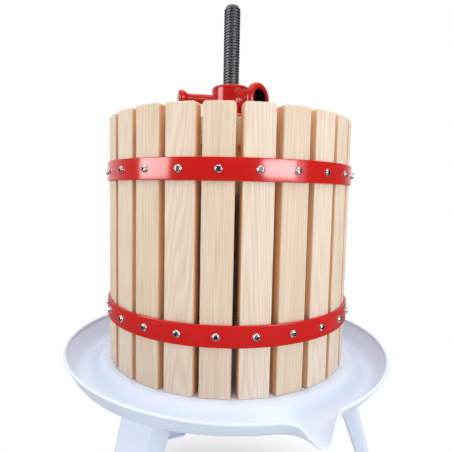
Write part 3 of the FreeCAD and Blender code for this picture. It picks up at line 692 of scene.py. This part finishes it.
disc_low, disc_size = body_size("pressure_disc")
disc = new_mesh("turned_pressure_disc", turned(rounded((
    (BORE, disc_low.z, 0.4), (disc_size.x / 2, disc_low.z, 0.8),
    (disc_size.x / 2, disc_low.z + disc_size.z, 1.2), (BORE, disc_low.z + disc_size.z, 0.4)
)), 96))
seat(disc, "press_stack", red_enamel, "red_enamel", "pressure_disc")
race_low, race_size = body_size("thrust_bearing")
race_edge, race_top = race_size.x / 2, race_low.z + race_size.z
bearing = new_mesh("thrust_bearing_races", turned(rounded((
    (BORE, race_low.z, 0.3), (race_edge, race_low.z, 0.5), (race_edge, race_low.z + RACE, 0.4),
    (race_edge - WAIST, race_low.z + RACE_STEP, 0.2),
    (race_edge - WAIST, race_top - RACE_STEP, 0.2),
    (race_edge, race_top - RACE, 0.4), (race_edge, race_top, 0.5), (BORE, race_top, 0.3)
)), 72))
seat(bearing, "press_stack", bright_steel, "bright_steel", "thrust_bearing")
print("disc", round(disc_size.x), "mm across, bearing", round(race_size.x), "mm")

# %% [markdown]
# ## Blocks and plates
# Four hardwood blocks lie crosswise over two half-round plates. They are sawn from thicker stock
# and left plain, with eased edges. The grain runs along each block.

# %% Wooden stack
STACK_TURN = 60.0
BLOCKS = (  # level, length, width, direction in degrees, half the gap between the two
    ("upper", 200, 44, STACK_TURN, 13.5), ("lower", 250, 60, STACK_TURN - 90, 22)
)
BLOCK_EASE, PLATE_EASE = 2.2, 1.2
PLATE_RADIUS, PLATE_NOTCH, HALF_SPLIT = 148, 13.5, 1

for name, length, width, turn, offset in BLOCKS:
    for side, sign in (("left", 1), ("right", -1)):
        node = f"{name}_block_{side}"
        low, size = body_size(node)
        place = Matrix.Rotation(math.radians(turn), 4, "Z")
        place @= Matrix.Translation(
            Vector((0, sign * (offset + width / 2), low.z + size.z / 2)) * MM
        )
        board = eased_board((length, width, size.z), BLOCK_EASE)
        block = new_mesh(f"{node}_board", board, place)
        block.pass_index = 40 + len(bpy.data.objects)
        seat(block, "press_stack", block_wood, "block_wood", node)


def half_plate(height):
    """A half-round board with a notch for the spindle, on the -X side of its split."""
    start = math.asin(HALF_SPLIT / PLATE_RADIUS)
    inner = math.asin(HALF_SPLIT / PLATE_NOTCH)
    plan = [
        Vector((-reach * math.sin(angle), reach * math.cos(angle)))
        for reach, first, last, count in (
            (PLATE_RADIUS, start, math.pi - start, 64), (PLATE_NOTCH, math.pi - inner, inner, 16)
        )
        for angle in (first + (last - first) * k / count for k in range(count + 1))
    ]
    return plank(plan, height, PLATE_EASE)


for side, turn in (("left", 180), ("right", 0)):
    node = f"press_plate_{side}"
    low, size = body_size(node)
    place = Matrix.Translation((0, 0, low.z * MM))
    place @= Matrix.Rotation(math.radians(STACK_TURN + turn), 4, "Z")
    plate = new_mesh(f"{node}_board", half_plate(size.z), place)
    plate.pass_index = 60 + turn
    seat(plate, "press_stack", plate_wood, "block_wood", node)

# %% [markdown]
# ## The tray
# The tray is one pressed sheet: a raised flat seat under the cage, a slope down to a gutter, a
# leaning wall with a rolled rim, and a spout drawn out of the wall. A section is taken in every
# direction round the axis. It changes only towards the spout: the rim runs lower, and near the
# spout the wall's foot and rim run out along its sides until the lip cuts them off.

# %% The tray's surface
SEAT, FLOOR, RIM_TOP = 300.0, 284.0, 313.0
SEAT_REACH, SLOPE_RUN, RIM_REACH = 186.0, 14.0, 237.0
WALL_LEAN = math.radians(28.9)
SHEET = 2.0
SKIN = SHEET / math.cos(WALL_LEAN)
SPOUT_HALF, SPOUT_REACH = 21.0, 257.0
FLARE = math.radians(12)
WALL_RUN = (RIM_TOP - FLOOR) * math.tan(WALL_LEAN)
RIM_DIP, DIP_POWER = 8.0, 2.2
SPOUT_TURN = Matrix.Rotation(math.radians(-2.6), 4, "Z")
SPOUT_FROM = 150  # nearer to the axis than this, the spout changes nothing
ROOT, ROOT_GROWTH, ROOT_LIMIT = 22, 0.5, 40  # how softly the rim turns into the spout's sides
SEAT_FOLD, WALL_FOLD = 8, 12
STEEPER_FROM, STEEPER_OVER, STEEPER_BY = 205, 52, 6  # the spout's sides stand up towards its lip
LIP_EDGE, LIP_LEAN = 1.3, 19
REACH_FROM, REACH_STEP = 220.0, 0.1


def soft_max(a, b, width):
    """The larger of two values, with the corner where they cross rounded over a width."""
    near = max(0, width - abs(a - b)) / width
    return max(a, b) + near * near * width / 4


def inside(ahead, aside):
    """How far in from the outline a place lies: from the rim, or from the spout's side."""
    rim = RIM_REACH - math.hypot(ahead, aside)
    if ahead < SPOUT_FROM:
        return rim
    side = SPOUT_HALF + (SPOUT_REACH - ahead) * math.tan(FLARE) - abs(aside)
    side *= math.cos(FLARE)
    return soft_max(rim, side, ROOT + ROOT_GROWTH * min(ROOT_LIMIT, max(0, rim, side)))


def rim_level(ahead, aside):
    """Level of the rim, which the photograph shows lower towards the spout."""
    return RIM_TOP - RIM_DIP * max(0, ahead / math.hypot(ahead, aside)) ** DIP_POWER


def tray_height(ahead, aside):
    """Level of the upper surface at a place, measured along the spout and across it."""
    slope = SEAT - (math.hypot(ahead, aside) - SEAT_REACH) * (SEAT - FLOOR) / SLOPE_RUN
    raised = -soft_max(-SEAT, -soft_max(slope, FLOOR, SEAT_FOLD), SEAT_FOLD)
    near_lip = min(1, max(0, (ahead - STEEPER_FROM) / STEEPER_OVER))
    rim = rim_level(ahead, aside)
    steep = (rim - FLOOR) / (WALL_RUN - STEEPER_BY * near_lip)
    wall = rim - (inside(ahead, aside) - SKIN) * steep
    return max(raised, soft_max(wall, FLOOR, WALL_FOLD))


def edge_reach(angle):
    """How far the tray goes in a direction: to its rim, or to the spout's slanting lip."""
    reach = REACH_FROM
    while True:
        ahead, aside = reach * math.cos(angle), reach * math.sin(angle)
        above_foot = tray_height(ahead, aside) - FLOOR + SHEET
        lip = SPOUT_REACH - LIP_EDGE - LIP_LEAN * above_foot / (RIM_TOP + 1 - FLOOR + SHEET)
        if inside(ahead, aside) <= SKIN or ahead > lip:
            return reach
        reach += REACH_STEP


print("wall is", round(RIM_TOP - FLOOR), "mm high, lip at", round(edge_reach(0), 1), "mm")

# %% [markdown]
# The surface is given the sheet's thickness behind it and a slight round on its cut edges. The
# rolled rim is a thin tube round the whole edge, which gets thinner where the spout's lip goes
# below the rim.

# %% Pressing the sheet
CUT_EDGE = 0.6
SMOOTH_BELOW = math.radians(40)
RIM_TUBE, TUBE_SIDES = 2.2, 12
THIN_BELOW = 10 * MM  # this far below the rim, the tube is as thin as the lip's edge


def sheet_metal(name, shape, thickness, facing, place=Matrix()):
    """A sheet of a thickness in mm behind a surface that faces a direction."""
    bmesh.ops.remove_doubles(shape, verts=shape.verts, dist=0.02 * MM)
    bmesh.ops.recalc_face_normals(shape, faces=shape.faces)
    if sum(face.normal.dot(facing) * face.calc_area() for face in shape.faces) < 0:
        bmesh.ops.reverse_faces(shape, faces=shape.faces)
    mesh = bpy.data.meshes.new(name)
    shape.to_mesh(mesh)
    shape.free()
    piece = bpy.data.objects.new(name, mesh)
    bpy.context.scene.collection.objects.link(piece)
    solid = piece.modifiers.new("sheet", "SOLIDIFY")
    solid.thickness, solid.offset, solid.use_even_offset = thickness * MM, -1, True
    rim = piece.modifiers.new("edge", "BEVEL")
    rim.width, rim.segments, rim.angle_limit = CUT_EDGE * MM, 2, math.radians(60)
    apply_modifiers(piece)
    piece.data.shade_smooth()
    piece.data.set_sharp_from_angle(angle=SMOOTH_BELOW)
    piece.data.transform(place)
    return piece


def join(main, *others):
    """Take other objects into the main one, as parts of the same piece."""
    merged = bmesh.new()
    for part in (main, *others):
        first = len(merged.verts)
        merged.from_mesh(part.data)
        merged.verts.ensure_lookup_table()
        place = main.matrix_world.inverted() @ part.matrix_world
        bmesh.ops.transform(merged, matrix=place, verts=merged.verts[first:])
    merged.to_mesh(main.data)
    merged.free()
    for part in others:
        bpy.data.objects.remove(part)
    main.data.set_sharp_from_angle(angle=SMOOTH_BELOW)


# Directions lie closer together across the spout, places closer together over slope and wall.
directions = [math.radians(k / 4) for k in range(-60, 61)]
directions += [math.radians(k) for k in range(17, 344, 2)]
on_seat = [12.5, 100, 172]
on_slope = [176 + 2 * k for k in range(12)]
dish, edge, columns = bmesh.new(), [], []
for angle in directions:
    end = edge_reach(angle)
    reaches = on_seat + on_slope + [200 + (end - 200) * k / 28 for k in range(29)]
    column = []
    for reach in reaches:
        ahead, aside = reach * math.cos(angle), reach * math.sin(angle)
        column.append(Vector((aside, -ahead, tray_height(ahead, aside))) * MM)
    columns.append([dish.verts.new(place) for place in column])
    below = rim_level(ahead, aside) * MM - column[-1].z
    edge.append((column[-1], below))
for left, right in zip(columns, columns[1:] + columns[:1]):
    for k in range(len(left) - 1):
        dish.faces.new((left[k], right[k], right[k + 1], left[k + 1]))
tray = sheet_metal("pressed_tray", dish, SHEET, Vector((0, 0, 1)), SPOUT_TURN)

tube, rings = bmesh.new(), []
for n, (place, below) in enumerate(edge):
    along = (edge[(n + 1) % len(edge)][0] - edge[n - 1][0]).normalized()
    side = along.cross(Vector((0, 0, 1))).normalized()
    lift = side.cross(along)
    size = RIM_TUBE - (RIM_TUBE - LIP_EDGE) * min(1, max(0, below / THIN_BELOW))
    rings.append([
        tube.verts.new(place + size * MM * (side * math.cos(angle) + lift * math.sin(angle)))
        for angle in (math.tau * k / TUBE_SIDES for k in range(TUBE_SIDES))
    ])
for ring, after in zip(rings, rings[1:] + rings[:1]):
    for k in range(TUBE_SIDES):
        beside = (k + 1) % TUBE_SIDES
        tube.faces.new((ring[k], ring[beside], after[beside], after[k]))
join(tray, new_mesh("rolled_rim", tube, SPOUT_TURN))
seat(tray, "stand", white_enamel, "white_enamel", "tray")
print("tray made in", len(directions), "directions")

# %% [markdown]
# ## The legs
# Each leg is folded from one sheet: a broad face that leans outwards, and two side flanges that
# taper towards the ground. Folds in sheet this thick are round. The face and the flanges are drawn
# as one surface and given the sheet's thickness behind it. A plate at the top takes the bolts, and
# a foot with a hole stands on the ground.

# %% Legs
LEG_ANGLES = {"front_right": -30, "rear": 90, "front_left": 210}
LEG_TOP = 293.0
SPLAY = math.tan(math.radians(16.6))
LEG_REACH, LEG_HALF = 178.5, 31.0
LEG_SHEET, LEG_FOLD, LEG_ROWS = 3, 8, 30
FLANGE_LOW, FLANGE_HIGH = 9.0, 30.5
TOP_FROM, TOP_TO = 130.5, 170.5
GROUND_REACH = LEG_REACH + LEG_TOP * SPLAY
FOOT_FROM, FOOT_TO = GROUND_REACH - 9, GROUND_REACH + 30
HOLE, HOLE_OUT = 5.5, 15


def folded_leg():
    """The leg's face and flanges, outside surface, leaning along +X."""
    surface = bmesh.new()
    rows = []
    for n in range(LEG_ROWS + 1):
        level = LEG_TOP * n / LEG_ROWS
        face = LEG_REACH + (LEG_TOP - level) * SPLAY
        flange = FLANGE_LOW + (FLANGE_HIGH - FLANGE_LOW) * n / LEG_ROWS
        section = rounded((
            (-flange, -LEG_HALF, 0), (0, -LEG_HALF, LEG_FOLD),
            (0, LEG_HALF, LEG_FOLD), (-flange, LEG_HALF, 0),
        ), closed=False, steps=8)
        rows.append([
            surface.verts.new(((face + p.x) * MM, p.y * MM, level * MM)) for p in section
        ])
    for row, above in zip(rows, rows[1:]):
        for k in range(len(row) - 1):
            surface.faces.new((row[k], row[k + 1], above[k + 1], above[k]))
    return sheet_metal("leg_channel", surface, LEG_SHEET, Vector((1, 0, 0)))


for name, angle in LEG_ANGLES.items():
    leg = folded_leg()
    top = new_mesh("leg_top", plank([
        Vector((TOP_FROM, -LEG_HALF)), Vector((TOP_TO, -LEG_HALF)),
        Vector((TOP_TO, LEG_HALF)), Vector((TOP_FROM, LEG_HALF)),
    ], LEG_SHEET, 0.4), Matrix.Translation((0, 0, (LEG_TOP - LEG_SHEET) * MM)))
    foot = new_mesh("leg_foot", plank(rounded((
        (FOOT_FROM, -LEG_HALF, 0), (FOOT_TO, -LEG_HALF, 10),
        (FOOT_TO, LEG_HALF, 10), (FOOT_FROM, LEG_HALF, 0),
    )), LEG_SHEET, 0.5))
    drill = new_mesh("foot_drill", turned(
        [Vector((0, -5)), Vector((HOLE, -5)), Vector((HOLE, 8)), Vector((0, 8))], 32, closed=False
    ), Matrix.Translation(((GROUND_REACH + HOLE_OUT) * MM, 0, 0)))
    hole = foot.modifiers.new("hole", "BOOLEAN")
    hole.object, hole.operation = drill, "DIFFERENCE"
    bpy.context.view_layer.update()
    apply_modifiers(foot)
    bpy.data.objects.remove(drill)
    bpy.context.view_layer.update()
    join(leg, top, foot)
    for corner in leg.data.vertices:  # the channel's lean takes its inner edge under the ground
        corner.co.z = max(0, corner.co.z)
    leg.data.transform(Matrix.Rotation(math.radians(angle), 4, "Z"))
    leg.name = f"folded_leg_{name}"
    seat(leg, "stand", white_enamel, "white_enamel", f"leg_{name}")
print("legs reach", round(GROUND_REACH), "mm at the ground")

# %% [markdown]
# Under the tray a flat cross ties the legs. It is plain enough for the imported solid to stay, with
# a coat of enamel. Bolts with round heads go through tray, leg and cross into hexagon nuts, and a
# larger nut holds the spindle.

# %% Cross, bolts and nuts
BOLT_REACH, BOLT_ASIDE = 142, 15
BOLT, BOLT_HEAD, BOLT_CROWN, CROWN = 4, 9, 6.5, 4  # radii of shank, head and crown, and its height
NUT_FOOT, NUT_TOP = LEG_TOP - 9.5, LEG_TOP - 3

frame["nodes"]["base_cross"].data.materials.clear()
frame["nodes"]["base_cross"].data.materials.append(white_enamel)


def hex_nut(corner, low, high, bore):
    """A hexagon nut in mm with its corners turned off, top and bottom."""
    nut = turned([Vector((bore, low)), Vector((corner, low)), Vector((corner, high)),
                  Vector((bore, high))], 6)
    bmesh.ops.bevel(nut, geom=[e for e in nut.edges if e.calc_length() > corner * 0.9 * MM],
                    offset=0.8 * MM, segments=2, profile=0.6, affect="EDGES")
    return nut


nut_low, nut_size = body_size("spindle_nut")
nut = new_mesh("spindle_hex_nut", hex_nut(18.5, nut_low.z, nut_low.z + nut_size.z, 10.4))
seat(nut, "stand", bright_steel, "bright_steel", "spindle_nut")

bolts, nuts = bmesh.new(), bmesh.new()
bolt_foot = body_size("leg_bolts")[0].z
for angle in LEG_ANGLES.values():
    for side in (-BOLT_ASIDE, BOLT_ASIDE):
        place = Matrix.Rotation(math.radians(angle), 4, "Z")
        place @= Matrix.Translation((BOLT_REACH * MM, side * MM, 0))
        first = len(bolts.verts)
        turned(rounded((
            (0, bolt_foot, 0), (BOLT, bolt_foot, 0.6), (BOLT, SEAT, 0), (BOLT_HEAD, SEAT, 0.4),
            (BOLT_CROWN, SEAT + CROWN, 4), (0, SEAT + CROWN, 0)
        ), closed=False), 32, target=bolts)
        bolts.verts.ensure_lookup_table()
        bmesh.ops.transform(bolts, matrix=place, verts=bolts.verts[first:])
        blank = new_mesh("bolt_nut", hex_nut(7.5, NUT_FOOT, NUT_TOP, 3.9))
        first = len(nuts.verts)
        nuts.from_mesh(blank.data)
        nuts.verts.ensure_lookup_table()
        bmesh.ops.transform(nuts, matrix=place, verts=nuts.verts[first:])
        bpy.data.objects.remove(blank)
seat(new_mesh("coach_bolts", bolts), "stand", bright_steel, "bright_steel", "leg_bolts")
seat(new_mesh("leg_hex_nuts", nuts), "stand", bright_steel, "bright_steel", "leg_nuts")
print("bolt heads on the seat at", SEAT, "mm, nuts under the legs' plates at", NUT_TOP, "mm")

# %% [markdown]
# ## Studio
# The press stands under a large sheet of light and between two soft boxes. Two smaller cards, seen
# only in reflections, give the bands of light on the hoops and the hub.

# %% Lamps
SIGHT = math.radians(-116.24)  # where the camera stands, seen from the spindle
AIM = 0.45
LAMPS = (  # name, swing, distance, height, size, power, colour
    ("left_soft_box", -66, 1.9, 0.7, (1.1, 1.1), 11, "FFFFFF"),
    ("right_soft_box", 48, 1.9, 0.75, (1.2, 1.1), 14.5, "FFFFFF"),
    ("top_sheet", 0, 0.2, 2.4, (2.6, 2.6), 46, "FFFAF4"),
)
CARDS = (
    ("left_reflector", -66, 1.9, 0.9, (1.0, 1.0), 45, "FFFFFF"),
    ("right_reflector", 42, 1.9, 0.7, (1.0, 0.5), 34, "FFFFFF"),
)


def lamp(name, swing, away, height, size, power, colour):
    """A soft box aimed at the cage, swung round from the camera's side by an angle in degrees."""
    light = bpy.data.lights.new(name, "AREA")
    light.shape, (light.size, light.size_y) = "RECTANGLE", size
    light.energy, light.color = power, linear(colour)[:3]
    box = bpy.data.objects.new(name, light)
    angle = SIGHT + math.radians(swing)
    box.location = (away * math.cos(angle), away * math.sin(angle), height)
    aim = Vector((0, 0, AIM)) - box.location
    box.rotation_euler = aim.to_track_quat("-Z", "Y").to_euler()
    bpy.context.scene.collection.objects.link(box)
    return box


for settings in LAMPS:
    lamp(*settings)
for settings in CARDS:
    lamp(*settings).visible_diffuse = False
print("lamps and cards:", ", ".join(sorted(light.name for light in bpy.data.lights)))

# %% [markdown]
# The backdrop is white in the picture. What the glossy coat mirrors in front is dim and behind is
# white, as in a studio with a lit backdrop, and what lights the press evenly is in between.

# %% Backdrop
BACKDROP_SWING = math.radians(-165)
DIM_UNTIL, WHITE_FROM = 0.3, 0.7  # cosines of the angle to the lit side of the room
DIM_SIDE, EVEN_LIGHT = 0.15, 0.5

world = bpy.data.worlds.new("white_studio")
world.use_nodes = True
bpy.context.scene.world = world
sky = world.node_tree
rays = add_node(sky, "ShaderNodeLightPath")
around = add_node(sky, "ShaderNodeTexCoord")
backdrop_turn = SIGHT + BACKDROP_SWING
backdrop_side = Vector((math.cos(backdrop_turn), math.sin(backdrop_turn), 0))
behind = add_node(
    sky, "ShaderNodeVectorMath", {0: around.outputs["Generated"], 1: backdrop_side},
    operation="DOT_PRODUCT",
)
mirrored = add_node(
    sky, "ShaderNodeMapRange",
    {"Value": behind.outputs["Value"], "From Min": DIM_UNTIL, "From Max": WHITE_FROM,
     "To Min": DIM_SIDE},
)
lit = add_node(
    sky, "ShaderNodeMix",
    {0: rays.outputs["Is Glossy Ray"], 2: EVEN_LIGHT, 3: mirrored.outputs["Result"]},
)
level = add_node(
    sky, "ShaderNodeMath", {0: lit.outputs[0], 1: rays.outputs["Is Camera Ray"]},
    operation="MAXIMUM",
)
level = add_node(
    sky, "ShaderNodeMath", {0: level.outputs["Value"], 1: rays.outputs["Is Transmission Ray"]},
    operation="MAXIMUM",
)
sky.links.new(level.outputs["Value"], sky.nodes["Background"].inputs["Strength"])
sky.nodes["Background"].inputs["Color"].default_value = linear("FFFFFF")
print("backdrop has", len(sky.nodes), "nodes")

# %% [markdown]
# The sweep is white paper. Away from the stand it glows for the camera, so that it is as white as
# the backdrop, and near the middle it keeps the stand's shadow. Coats and metal mirror it dimmer,
# or the lower hoop would turn pink.

# %% Floor
GLOW_FROM, GLOW_FULL = 0.05, 0.34
MIRROR_LOSS = 0.75

sweep = bmesh.new()
bmesh.ops.create_circle(sweep, cap_ends=True, radius=6, segments=96)
floor = new_mesh("studio_floor", sweep)
paper, tree, shader = new_finish("white_paper_sweep", Roughness=0.9)
shader.inputs["Base Color"].default_value = linear("CFCFCF")
glow = add_node(tree, "ShaderNodeEmission", {"Color": linear("FFFFFF"), "Strength": 1.0})
place = add_node(tree, "ShaderNodeTexCoord")
away = add_node(
    tree, "ShaderNodeVectorMath", {0: place.outputs["Object"]}, operation="LENGTH"
)
fade = add_node(
    tree, "ShaderNodeMapRange",
    {"Value": away.outputs["Value"], "From Min": GLOW_FROM, "From Max": GLOW_FULL},
    interpolation_type="SMOOTHSTEP",
)
path = add_node(tree, "ShaderNodeLightPath")
straight = add_node(
    tree, "ShaderNodeMath",
    {0: path.outputs["Is Camera Ray"], 1: path.outputs["Is Transmission Ray"]},
    operation="MAXIMUM",
)
straight = add_node(
    tree, "ShaderNodeMath",
    {0: straight.outputs["Value"], 1: path.outputs["Is Glossy Ray"]},
    operation="MAXIMUM",
)
dimmed = add_node(
    tree, "ShaderNodeMath", {0: path.outputs["Is Glossy Ray"], 1: -MIRROR_LOSS, 2: 1.0},
    operation="MULTIPLY_ADD",
)
tree.links.new(dimmed.outputs["Value"], glow.inputs["Strength"])
seen = add_node(
    tree, "ShaderNodeMath", {0: fade.outputs["Result"], 1: straight.outputs["Value"]},
    operation="MULTIPLY",
)
blend = add_node(
    tree, "ShaderNodeMixShader",
    {0: seen.outputs["Value"], 1: shader.outputs["BSDF"], 2: glow.outputs["Emission"]},
)
tree.links.new(blend.outputs["Shader"], tree.nodes["Material Output"].inputs["Surface"])
floor.data.materials.append(paper)
floor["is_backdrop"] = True
print("sweep glows from", GLOW_FROM, "to", GLOW_FULL, "m out")

# %% [markdown]
# The camera stands close, level with the upper part of the cage. Its place, its turn and its focal
# length were fitted to points of the cage in the photograph.

# %% Camera
CAMERA_AWAY, CAMERA_UP = 0.6303, 0.53765
FOCAL, SENSOR = 32.99, 36
PITCH_DOWN, ROLL, YAW = 0.0814, 0.0193, -0.0055

turn = Matrix.Rotation(SIGHT + math.pi / 2, 3, "Z")
forward = Vector((
    math.sin(YAW) * math.cos(PITCH_DOWN),
    math.cos(YAW) * math.cos(PITCH_DOWN),
    -math.sin(PITCH_DOWN),
))
level_right = forward.cross(Vector((0, 0, 1))).normalized()
level_up = level_right.cross(forward)
right = level_right * math.cos(ROLL) + level_up * math.sin(ROLL)
up = level_up * math.cos(ROLL) - level_right * math.sin(ROLL)
camera = bpy.data.objects.new("photo_camera", bpy.data.cameras.new("photo_camera"))
camera.data.lens, camera.data.sensor_width, camera.data.sensor_height = FOCAL, SENSOR, SENSOR
camera.data.clip_start, camera.data.clip_end = 0.01, 50
axes = Matrix((turn @ right, turn @ up, turn @ -forward)).transposed()
stand_point = turn @ Vector((0, -CAMERA_AWAY, CAMERA_UP))
camera.matrix_world = Matrix.Translation(stand_point) @ axes.to_4x4()
bpy.context.scene.collection.objects.link(camera)
bpy.context.scene.camera = camera
bpy.context.scene.view_settings.view_transform = "Standard"
print("camera at", [round(c, 3) for c in camera.location])

# %% [markdown]
# ## Size
# The box that all pieces fill now is measured.

# %% Size of all pieces
low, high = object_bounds()
